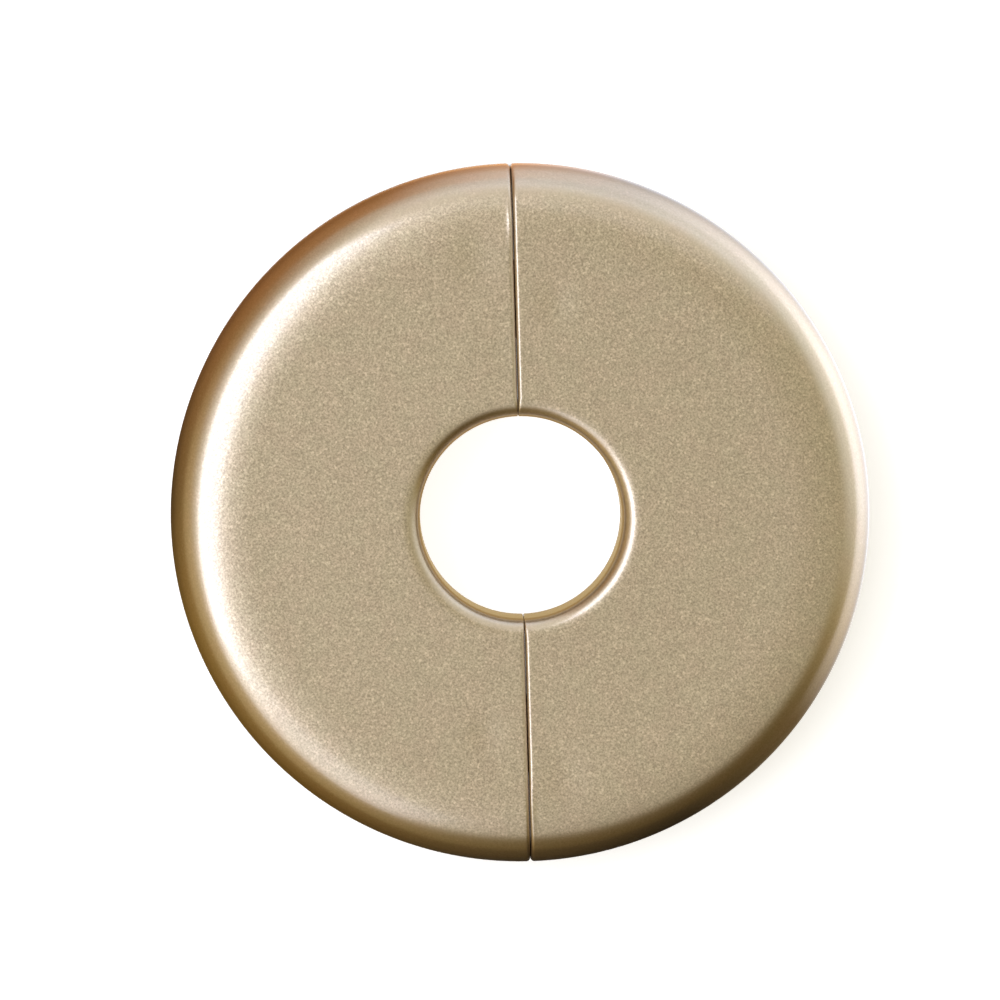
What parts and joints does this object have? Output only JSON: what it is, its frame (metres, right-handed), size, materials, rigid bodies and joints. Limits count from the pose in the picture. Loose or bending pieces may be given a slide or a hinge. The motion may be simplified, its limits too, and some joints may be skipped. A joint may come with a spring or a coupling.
{
  "type": "pipe escutcheon",
  "caption": "Round split cover plate with rounded shoulder and central bore; its matching halves push together round a pipe to hide the hole where it enters a wall.",
  "frame": {"origin": "on the pipe's axis, in the plane of the wall that the skirt's foot rests on", "axes": "+Z along the pipe, out of the wall; the seam between the halves lies along Y and they pull apart along X"},
  "size_m": [0.073, 0.073, 0.012],
  "materials": {
    "champagne_paint": "satin metallic champagne-gold spray paint on moulded plastic"
  },
  "bodies": {
    "left_half": {"left_half": "champagne_paint"},
    "right_half": {"right_half": "champagne_paint"}
  },
  "joints": [
    {"name": "pull_apart", "type": "slide", "parent": "left_half", "child": "right_half", "axis": [1, 0, 0], "range_m": [0, 0.04]}
  ]
}
